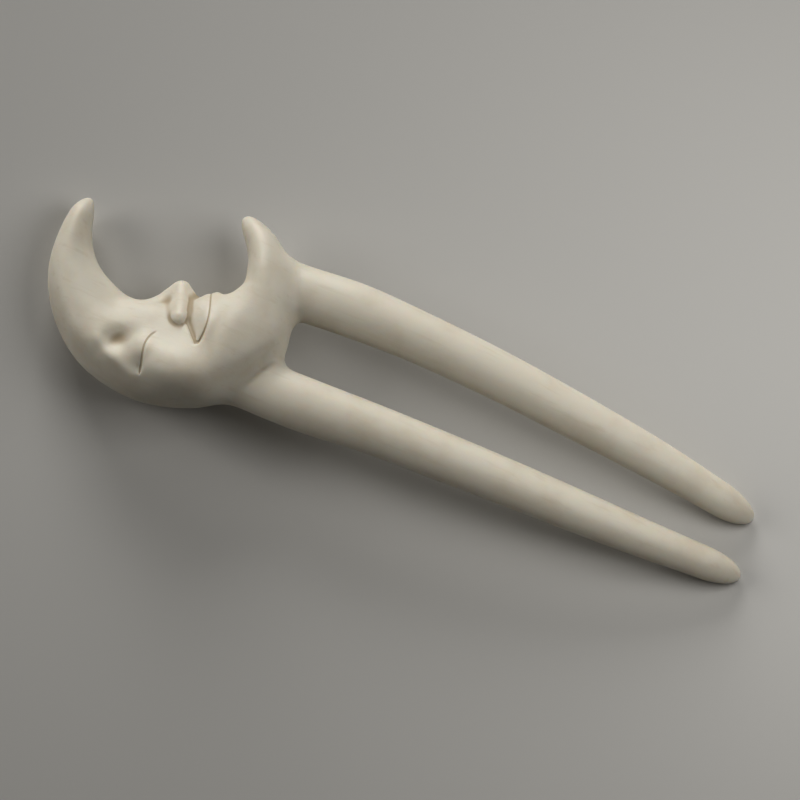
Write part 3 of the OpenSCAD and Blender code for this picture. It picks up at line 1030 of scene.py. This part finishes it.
    def root_cells(self, root: tuple[int, int]) -> list[tuple[int, int]]:
        """Finds the moon's points round the upper half of a root.

        Args:
            root: First and last ring of the root.

        Returns:
            The ring and the step of each point.
        """
        first, last = root
        steps = self.root_steps
        far = [(last, step) for step in range(steps + 1)]
        edge = [(number, steps) for number in range(last - 1, first - 1, -1)]
        near = [(first, step) for step in range(steps - 1, -1, -1)]
        return far + edge + near

    def add_prong(self, prong: Prong, root: tuple[int, int], moon: Array, ring: int) -> None:
        """Covers one prong and joins it to the moon.

        Args:
            prong: The prong.
            root: First and last ring of its root.
            moon: Upper halves of the moon's rings.
            ring: How many points a ring of the moon has.
        """
        cells = self.root_cells(root)
        half = len(cells) - 1
        start = np.array([moon[number, step] for number, step in cells])
        first_plain = self.plain_half(prong, self.plain_start, half)
        leaving = self.leaving_halves(prong, start, first_plain)
        round_start = prong.reach - prong.tip_round
        plain = [
            self.plain_half(prong, x, half // 2)
            for x in np.linspace(self.plain_start, round_start, self.plain_rings + 1)
        ]
        places = round_start + prong.tip_round * self.ends()
        tip = [self.plain_half(prong, x, half // 2) for x in places]
        loop = [self.moon_point(number, step, ring) for number, step in cells]
        loop += [self.moon_point(number, -step, ring) for number, step in cells[-2:0:-1]]
        for rings, size in ((leaving, 2 * half), (plain + tip, half)):
            for number in self.add_rings(rings):
                after = list(range(number, number + size))
                self.band(loop, after)
                loop = after
        point = float(prong.middle(np.array(prong.reach)))
        self.fan(loop, self.add_point((prong.reach, point, 0.0)))

    def plain_half(self, prong: Prong, x: float, count: int) -> Array:
        """Upper half of a plain ring of a prong.

        Args:
            prong: The prong.
            x: Place of the ring along it.
            count: Steps round the half ring.

        Returns:
            The points.
        """
        turn = np.linspace(0.0, math.pi, count + 1)
        place = np.full(count + 1, x)
        base = np.stack([place, prong.middle(place), 0.0 * place], axis=-1)
        width = prong.sections.at("half_width", place) * np.cos(turn)
        thick = prong.sections.at("half_thickness", place) * np.sin(turn)
        shrink = np.sqrt(np.maximum(1.0 - prong.past_end(place) ** 2, 0.0))
        way = np.stack([0.0 * place, width, thick], axis=-1)
        return self.form.cast(base, way, self.first_reach * shrink * np.linalg.norm(way, axis=-1))

    def leaving_halves(self, prong: Prong, start: Array, plain: Array) -> list[Array]:
        """Upper halves of the rings that lead from the moon's net to a prong's first plain ring.

        Args:
            prong: The prong.
            start: Points of the moon's net round the root.
            plain: Points of the plain ring.

        Returns:
            The points of each ring.
        """
        start_arm = start - np.stack([start[:, 0], prong.middle(start[:, 0]), 0.0 * start[:, 0]], axis=-1)
        plain_arm = plain - np.stack([plain[:, 0], prong.middle(plain[:, 0]), 0.0 * plain[:, 0]], axis=-1)
        halves = []
        for number in range(1, self.root_rings + 1):
            share = number / (self.root_rings + 1)
            x = start[:, 0] + (plain[:, 0] - start[:, 0]) * share
            base = np.stack([x, prong.middle(x), 0.0 * x], axis=-1)
            way = start_arm + (plain_arm - start_arm) * share
            halves.append(self.form.cast(base, way, self.first_reach * np.linalg.norm(way, axis=-1)))
        return halves


@dataclass(frozen=True)
class Pattern:
    """An uneven pattern that runs through a material.

    Attributes:
        fineness: Its fineness, for each metre.
        detail: How many finer layers it has.
        stretch: Factors of its fineness along x, y and z.
    """

    fineness: float
    detail: float
    stretch: Point | None = None


@dataclass(frozen=True)
class Ramp:
    """A soft change from one value to another.

    Attributes:
        low: Reading where the change starts.
        high: Reading where it ends.
        first: Value up to the start.
        last: Value from the end on.
    """

    low: float
    high: float
    first: float
    last: float


class Nodes:
    """Makes and joins the nodes of one material."""

    def __init__(self, name: str) -> None:
        """Starts a material with an empty node tree.

        Args:
            name: Name of the material.
        """
        self.material = bpy.data.materials.new(name)
        self.material.use_nodes = True
        self.tree = self.material.node_tree
        self.tree.nodes.clear()

    def add(self, kind: str, **values: object) -> bpy.types.Node:
        """Adds a node.

        Args:
            kind: Its type, without the word ShaderNode.
            **values: Attributes of the node.

        Returns:
            The node.
        """
        node = self.tree.nodes.new("ShaderNode" + kind)
        for name, value in values.items():
            setattr(node, name, value)
        return node

    def join(self, source: bpy.types.NodeSocket, target: bpy.types.NodeSocket) -> None:
        """Joins two sockets."""
        self.tree.links.new(source, target)

    def noise(self, place: bpy.types.NodeSocket, pattern: Pattern) -> bpy.types.NodeSocket:
        """Adds an uneven pattern.

        Args:
            place: Where it is read.
            pattern: The pattern.

        Returns:
            Its value.
        """
        if pattern.stretch:
            place = self.stretched(place, pattern.stretch)
        node = self.add("TexNoise")
        node.inputs["Scale"].default_value = pattern.fineness
        node.inputs["Detail"].default_value = pattern.detail
        node.inputs["Roughness"].default_value = NOISE_ROUGHNESS
        self.join(place, node.inputs["Vector"])
        return node.outputs["Fac"]

    def stretched(self, place: bpy.types.NodeSocket, scale: Point) -> bpy.types.NodeSocket:
        """Scales places by a factor along each axis.

        Args:
            place: The places.
            scale: The factors.

        Returns:
            The scaled places.
        """
        node = self.add("Mapping")
        node.inputs["Scale"].default_value = scale
        self.join(place, node.inputs["Vector"])
        return node.outputs["Vector"]

    def spread(self, value: bpy.types.NodeSocket, ramp: Ramp) -> bpy.types.NodeSocket:
        """Reads a value through a soft change.

        Args:
            value: The value.
            ramp: The change.

        Returns:
            The changed value.
        """
        node = self.add("MapRange", interpolation_type="SMOOTHSTEP")
        node.inputs["From Min"].default_value = ramp.low
        node.inputs["From Max"].default_value = ramp.high
        node.inputs["To Min"].default_value = ramp.first
        node.inputs["To Max"].default_value = ramp.last
        self.join(value, node.inputs["Value"])
        return node.outputs["Result"]

    def tint(
        self, share: bpy.types.NodeSocket, under: bpy.types.NodeSocket, colour: Colour
    ) -> bpy.types.NodeSocket:
        """Lays one colour over another by a share.

        Args:
            share: How much of the new colour shows.
            under: The colour below.
            colour: The new colour.

        Returns:
            The mixed colour.
        """
        node = self.add("Mix", data_type="RGBA")
        self.join(share, node.inputs["Factor"])
        self.join(under, node.inputs["A"])
        node.inputs["B"].default_value = colour
        return node.outputs["Result"]

    def sum(self, first: bpy.types.NodeSocket, second: bpy.types.NodeSocket) -> bpy.types.NodeSocket:
        """Adds two values.

        Args:
            first: The one value.
            second: The other value.

        Returns:
            Their sum.
        """
        node = self.add("Math", operation="ADD")
        self.join(first, node.inputs[0])
        self.join(second, node.inputs[1])
        return node.outputs["Value"]

    def bump(
        self, height: bpy.types.NodeSocket, distance: float, under: bpy.types.NodeSocket | None = None
    ) -> bpy.types.NodeSocket:
        """Adds a bump.

        Args:
            height: The height, from nought to one.
            distance: What a height of one stands for, in metres.
            under: The normal that the bump lies on.

        Returns:
            The bumped normal.
        """
        node = self.add("Bump")
        node.inputs["Distance"].default_value = distance
        self.join(height, node.inputs["Height"])
        if under:
            self.join(under, node.inputs["Normal"])
        return node.outputs["Normal"]


@dataclass(frozen=True)
class IvoryFinish:
    """Satin ivory-coloured resin, polished by hand, duller in its hollows, with warm shade painted into them.

    Attributes:
        name: Name of the material.
        body: The clean colour.
        cloud: Colour of the faint clouds in it.
        streak: Colour of the faint streaks along the prongs.
        painted_shade: Warm dark colour painted into hollows and cuts as shade.
        crest: Colour of the polished crests.
        clouds: Pattern of the clouds.
        cloud_share: How much of their colour shows, by that pattern.
        streaks: Pattern of the streaks.
        streak_share: How much of their colour shows, by that pattern.
        crest_share: How much of the crests' colour shows, by the curvature.
        painted_shade_share: How much of the painted shade shows, by the curvature.
        line_shade_loss: What narrow lines lose of the painted shade again, by the curvature.
        wear: Pattern of the worn surface.
        roughness: Roughness of open surfaces, by that pattern.
        crease_roughness: What a hollow adds to the roughness, by the curvature.
        grain: Pattern of the fine grain.
        grain_height: Its height, in metres.
        ripple: Pattern of the hand-finished ripple.
        ripple_height: Its height, in metres.
        refraction: How strongly the surface bends light.
        glow: Weight of the light that passes through the surface.
        glow_colour: How far red, green and blue light go, against each other.
        glow_reach: How far that light goes, in metres.
    """

    name: str = "ivory_satin"
    body: Colour = (0.73, 0.69, 0.60, 1.0)
    cloud: Colour = (0.68, 0.625, 0.525, 1.0)
    streak: Colour = (0.62, 0.555, 0.445, 1.0)
    # Painted shade: a warm dark colour laid into hollows and cuts
    painted_shade: Colour = (0.33, 0.23, 0.11, 1.0)
    crest: Colour = (0.79, 0.75, 0.67, 1.0)
    clouds: Pattern = Pattern(fineness=140.0, detail=4.0)
    cloud_share: Ramp = Ramp(low=0.42, high=0.72, first=0.0, last=0.8)
    streaks: Pattern = Pattern(fineness=1.0, detail=3.0, stretch=(45.0, 900.0, 900.0))
    streak_share: Ramp = Ramp(low=0.55, high=0.75, first=0.0, last=0.35)
    crest_share: Ramp = Ramp(low=0.2, high=0.9, first=0.0, last=0.6)
    # Painted shade in the hollows, and less of it again in narrow lines
    painted_shade_share: Ramp = Ramp(low=0.0, high=0.3, first=0.0, last=0.6)
    line_shade_loss: Ramp = Ramp(low=0.45, high=1.2, first=0.0, last=-0.42)
    wear: Pattern = Pattern(fineness=320.0, detail=3.0)
    roughness: Ramp = Ramp(low=0.3, high=0.7, first=0.46, last=0.56)
    crease_roughness: Ramp = Ramp(low=0.05, high=0.9, first=0.0, last=0.16)
    grain: Pattern = Pattern(fineness=2600.0, detail=3.0)
    grain_height: float = 0.000012
    ripple: Pattern = Pattern(fineness=1.0, detail=2.0, stretch=(60.0, 160.0, 160.0))
    ripple_height: float = 0.00008
    refraction: float = 1.5
    glow: float = 0.35
    glow_colour: Point = (1.0, 0.62, 0.35)
    glow_reach: float = 0.0015

    def material(self) -> bpy.types.Material:
        """Makes the material.

        Returns:
            The finished material.
        """
        nodes = Nodes(self.name)
        place = nodes.add("TexCoord").outputs["Object"]
        hollow = nodes.add("Attribute", attribute_name=HOLLOW).outputs["Fac"]
        shader = nodes.add("BsdfPrincipled")
        shader.inputs["IOR"].default_value = self.refraction
        shader.inputs["Subsurface Weight"].default_value = self.glow
        shader.inputs["Subsurface Radius"].default_value = self.glow_colour
        shader.inputs["Subsurface Scale"].default_value = self.glow_reach
        nodes.join(self.colour(nodes, place, hollow), shader.inputs["Base Color"])
        worn = nodes.spread(nodes.noise(place, self.wear), self.roughness)
        dull = nodes.spread(hollow, self.crease_roughness)
        nodes.join(nodes.sum(worn, dull), shader.inputs["Roughness"])
        rippled = nodes.bump(nodes.noise(place, self.ripple), self.ripple_height)
        grained = nodes.bump(nodes.noise(place, self.grain), self.grain_height, rippled)
        nodes.join(grained, shader.inputs["Normal"])
        out = nodes.add("OutputMaterial")
        nodes.join(shader.outputs["BSDF"], out.inputs["Surface"])
        return nodes.material

    def colour(
        self, nodes: Nodes, place: bpy.types.NodeSocket, hollow: bpy.types.NodeSocket
    ) -> bpy.types.NodeSocket:
        """Lays the colours over each other.

        Args:
            nodes: The material's nodes.
            place: Places on the fork.
            hollow: Curvature of the hollows.

        Returns:
            The colour.
        """
        crest = nodes.add("Attribute", attribute_name=CREST).outputs["Fac"]
        body = nodes.add("RGB")
        body.outputs["Color"].default_value = self.body
        clouded = nodes.spread(nodes.noise(place, self.clouds), self.cloud_share)
        colour = nodes.tint(clouded, body.outputs["Color"], self.cloud)
        streaked = nodes.spread(nodes.noise(place, self.streaks), self.streak_share)
        colour = nodes.tint(streaked, colour, self.streak)
        colour = nodes.tint(nodes.spread(crest, self.crest_share), colour, self.crest)
        # Shade painted into the hollows by their curvature, with less of it in narrow lines
        shade_amount = nodes.spread(hollow, self.painted_shade_share)
        shade_lost_on_lines = nodes.spread(hollow, self.line_shade_loss)
        return nodes.tint(nodes.sum(shade_amount, shade_lost_on_lines), colour, self.painted_shade)


@dataclass
class HairFork:
    """The fork as one piece, with its skin and its finish.

    Attributes:
        form: Its form.
        finish: Its finish.
        fineness: How near to a cut each round of finer faces reaches, in millimetres.
        blending: Rounds in which the measured curvature is evened out.
        moon: Place of the moon's middle in the frame, on the floor.
    """

    form: ForkForm
    finish: IvoryFinish
    fineness: tuple[float, ...] = (1.1, 0.65)
    blending: int = 24
    moon: Vector = field(default_factory=Vector)

    def build(self) -> bpy.types.Object:
        """Builds the piece and lays it where the frame holds its solid.

        Returns:
            The piece.
        """
        places, faces = Skin(self.form).build()
        mesh = bpy.data.meshes.new("hair_fork_skin")
        mesh.from_pydata(places.tolist(), [], faces)
        mesh.validate()
        self.refine(mesh)
        self.bow(mesh)
        bend = self.bend(mesh)
        # Curvature of the hollows, which sets the painted shade and the roughness
        self.mark(mesh, HOLLOW, np.maximum(-bend, 0.0))
        self.mark(mesh, CREST, np.maximum(bend, 0.0))
        mesh.shade_smooth()
        mesh.materials.append(self.finish.material())
        piece = bpy.data.objects.new("hair_fork_carved", mesh)
        bpy.context.scene.collection.objects.link(piece)
        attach(piece, "root")
        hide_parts(NODE)
        return piece

    def refine(self, mesh: bpy.types.Mesh) -> None:
        """Makes the net finer along the cuts and lays the new points on the surface.

        Args:
            mesh: The skin over the flat sheet, in millimetres.
        """
        net = bmesh.new()
        net.from_mesh(mesh)
        for nearness in self.fineness:
            near = self.form.face.near_cut(np.array([point.co[:] for point in net.verts]), nearness)
            net.verts.index_update()
            edges = [edge for edge in net.edges if all(near[point.index] for point in edge.verts)]
            bmesh.ops.subdivide_edges(net, edges=edges, cuts=1, use_grid_fill=True)
        loose = [point for point in net.verts if not point.link_faces]
        bmesh.ops.delete(net, geom=loose, context="VERTS")
        net.verts.index_update()
        places = np.array([point.co[:] for point in net.verts])
        near = self.form.face.near_cut(places, 2.0 * self.fineness[0])
        places[near] = self.form.settle(places[near])
        for point, place in zip(net.verts, places):
            point.co = place
        net.to_mesh(mesh)
        net.free()

    def bow(self, mesh: bpy.types.Mesh) -> None:
        """Bends the flat skin over the middle sheet and lays it where the frame holds the solid.

        Args:
            mesh: The skin over the flat sheet, in millimetres; it is left in metres.
        """
        places = np.empty(len(mesh.vertices) * 3)
        mesh.vertices.foreach_get("co", places)
        places = places.reshape(-1, 3)
        places[:, 2] += self.form.sheet.height(places[:, 0], places[:, 1])
        low, high = (np.array(corner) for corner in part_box(NODE))
        own_low, own_high = places.min(axis=0) * MM, places.max(axis=0) * MM
        shift = (low + high - own_low - own_high) / 2.0
        shift[2] = low[2] - own_low[2]
        self.moon = Vector(shift)
        mesh.vertices.foreach_set("co", (places * MM + shift).ravel())
        mesh.update()

    def bend(self, mesh: bpy.types.Mesh) -> Array:
        """Measures how the skin curves at each point.

        Args:
            mesh: The skin, in metres.

        Returns:
            The curvature for each millimetre: above nought on crests and below it in hollows.
        """
        places, normals = np.empty(len(mesh.vertices) * 3), np.empty(len(mesh.vertices) * 3)
        ends = np.empty(len(mesh.edges) * 2, dtype=int)
        mesh.vertices.foreach_get("co", places)
        mesh.vertex_normals.foreach_get("vector", normals)
        mesh.edges.foreach_get("vertices", ends)
        places, normals = places.reshape(-1, 3) / MM, normals.reshape(-1, 3)
        first, second = ends.reshape(-1, 2).T
        run = places[second] - places[first]
        square = (run**2).sum(axis=1)
        pairs, count = np.concatenate([first, second]), len(places)
        curve = np.concatenate([-(normals[first] * run).sum(axis=1), (normals[second] * run).sum(axis=1)])
        number = np.bincount(pairs, minlength=count)
        values = 2.0 * np.bincount(pairs, curve / np.tile(square, 2), count) / number
        others = np.concatenate([second, first])
        for _ in range(self.blending):
            values = (values + np.bincount(pairs, values[others], count) / number) / 2.0
        return values

    @staticmethod
    def mark(mesh: bpy.types.Mesh, name: str, values: Array) -> None:
        """Stores a value for each point of the mesh.

        Args:
            mesh: The mesh.
            name: Name of the attribute.
            values: One value for each point.
        """
        attribute = mesh.attributes.new(name, "FLOAT", "POINT")
        attribute.data.foreach_set("value", values.astype(np.float32))


@dataclass(frozen=True)
class PhotoCamera:
    """The camera at the photograph's place.

    Attributes:
        azimuth: Direction that it stands in, in degrees about z from minus y.
        elevation: Its height over the horizon, in degrees.
        distance: Distance to the moon's middle, in millimetres.
        scale: Pixels for a millimetre at that distance.
        moon_pixel: Pixel of the moon's middle.
        moon_height: Height of that point, in millimetres.
        frame_pixels: Width of the picture.
        sensor: Width of the sensor, in millimetres.
    """

    azimuth: float = 24.5
    elevation: float = 76.0
    distance: float = 520.0
    scale: float = 5.67
    moon_pixel: tuple[float, float] = (174.3, 279.3)
    moon_height: float = 7.5
    frame_pixels: float = 800.0
    sensor: float = 36.0

    def build(self, moon: Vector) -> bpy.types.Object:
        """Makes the camera.

        Args:
            moon: Place of the moon's middle on the floor, in the frame.

        Returns:
            The camera, which is also the scene's.
        """
        azimuth, elevation = math.radians(self.azimuth), math.radians(self.elevation)
        level = math.cos(elevation)
        right = Vector((math.cos(azimuth), math.sin(azimuth), 0.0))
        back = Vector((math.sin(azimuth) * level, -math.cos(azimuth) * level, math.sin(elevation)))
        up = back.cross(right)
        focal = self.scale * self.distance
        half = self.frame_pixels / 2.0
        aside, above = (self.moon_pixel[0] - half) / focal, (half - self.moon_pixel[1]) / focal
        ray = right * aside + up * above - back
        depth = back.z * self.distance / -ray.z
        data = bpy.data.cameras.new("photo_camera")
        data.sensor_width = self.sensor
        data.lens = focal * self.sensor / self.frame_pixels
        camera = bpy.data.objects.new("photo_camera", data)
        aim = moon + Vector((0.0, 0.0, self.moon_height * MM))
        turn = Matrix((right, up, back)).transposed().to_4x4()
        camera.matrix_world = Matrix.Translation(aim - ray * (depth * MM)) @ turn
        bpy.context.scene.collection.objects.link(camera)
        bpy.context.scene.camera = camera
        return camera


@dataclass(frozen=True)
class SoftBox:
    """One square soft light of the studio.

    Attributes:
        name: Its name.
        way: Direction from the fork to the light.
        distance: Its distance, in metres.
        size: Its side, in metres.
        power: Its power, in watts.
        colour: Its colour.
    """

    name: str
    way: Point
    distance: float
    size: float
    power: float
    colour: tuple[float, float, float]

    def build(self) -> bpy.types.Object:
        """Makes the light, aimed at the fork.

        Returns:
            The light.
        """
        data = bpy.data.lights.new(self.name, "AREA")
        data.size, data.energy, data.color = self.size, self.power, self.colour
        light = bpy.data.objects.new(self.name, data)
        way = Vector(self.way).normalized()
        light.location = way * self.distance
        light.rotation_mode = "QUATERNION"
        light.rotation_quaternion = way.to_track_quat("Z", "Y")
        light.visible_camera = False
        bpy.context.scene.collection.objects.link(light)
        return light


KEY_LIGHT = SoftBox(
    "key", way=(-0.52, 0.79, 0.31), distance=1.1, size=0.6, power=8.2, colour=(1.0, 1.0, 0.99)
)
SIDE_LIGHT = SoftBox(
    "side", way=(-0.89, -0.16, 0.42), distance=1.1, size=0.6, power=4.2, colour=(1.0, 0.985, 0.95)
)
TIP_LIGHT = SoftBox(
    "tips", way=(0.51, 0.26, 0.82), distance=0.2, size=0.14, power=0.2, colour=(1.0, 0.995, 0.98)
)


@dataclass(frozen=True)
class Studio:
    """Pale floor, soft lights and the light of the room.

    Attributes:
        floor_size: Side of the floor, in metres.
        floor_colour: Its colour.
        floor_roughness: Its roughness.
        room_colour: Colour of the room's light.
        room_strength: Its strength.
        print_gamma: Gamma of the picture; below one it is a little harder.
        print_exposure: Exposure of the picture, in stops.
        lights: The soft lights.
    """

    floor_size: float = 6.0
    floor_colour: Colour = (0.6, 0.59, 0.57, 1.0)
    floor_roughness: float = 0.9
    room_colour: Colour = (1.0, 0.92, 0.8, 1.0)
    room_strength: float = 0.01
    print_gamma: float = 0.75
    print_exposure: float = 0.03
    lights: tuple[SoftBox, ...] = (KEY_LIGHT, SIDE_LIGHT, TIP_LIGHT)

    def build(self) -> None:
        """Makes the floor, the lights and the room's light."""
        self.floor()
        for light in self.lights:
            light.build()
        world = bpy.data.worlds.new("room")
        world.use_nodes = True
        sky = world.node_tree.nodes["Background"]
        sky.inputs["Color"].default_value = self.room_colour
        sky.inputs["Strength"].default_value = self.room_strength
        bpy.context.scene.world = world
        shown = bpy.context.scene.view_settings
        shown.view_transform, shown.gamma, shown.exposure = "Standard", self.print_gamma, self.print_exposure

    def floor(self) -> bpy.types.Object:
        """Makes the floor that the fork lies on.

        Returns:
            The floor.
        """
        half = self.floor_size / 2.0
        mesh = bpy.data.meshes.new("floor")
        corners = [(-half, -half, 0.0), (half, -half, 0.0), (half, half, 0.0), (-half, half, 0.0)]
        mesh.from_pydata(corners, [], [(0, 1, 2, 3)])
        nodes = Nodes("pale_floor")
        shader = nodes.add("BsdfPrincipled")
        shader.inputs["Base Color"].default_value = self.floor_colour
        shader.inputs["Roughness"].default_value = self.floor_roughness
        out = nodes.add("OutputMaterial")
        nodes.join(shader.outputs["BSDF"], out.inputs["Surface"])
        mesh.materials.append(nodes.material)
        floor = bpy.data.objects.new("floor", mesh)
        bpy.context.scene.collection.objects.link(floor)
        return floor


def main() -> None:
    """Builds the fork, the camera and the studio, and reports each."""
    logging.basicConfig(level=logging.INFO, format="%(name)s: %(message)s")
    fork = HairFork(ForkForm(), IvoryFinish())
    piece = fork.build()
    log.info("%s: %d points, %d faces", piece.name, len(piece.data.vertices), len(piece.data.polygons))
    camera = PhotoCamera().build(fork.moon)
    log.info("%s stands at %s", camera.name, tuple(round(v, 4) for v in camera.location))
    Studio().build()
    log.info("studio is lit")


if __name__ == "__main__":
    main()
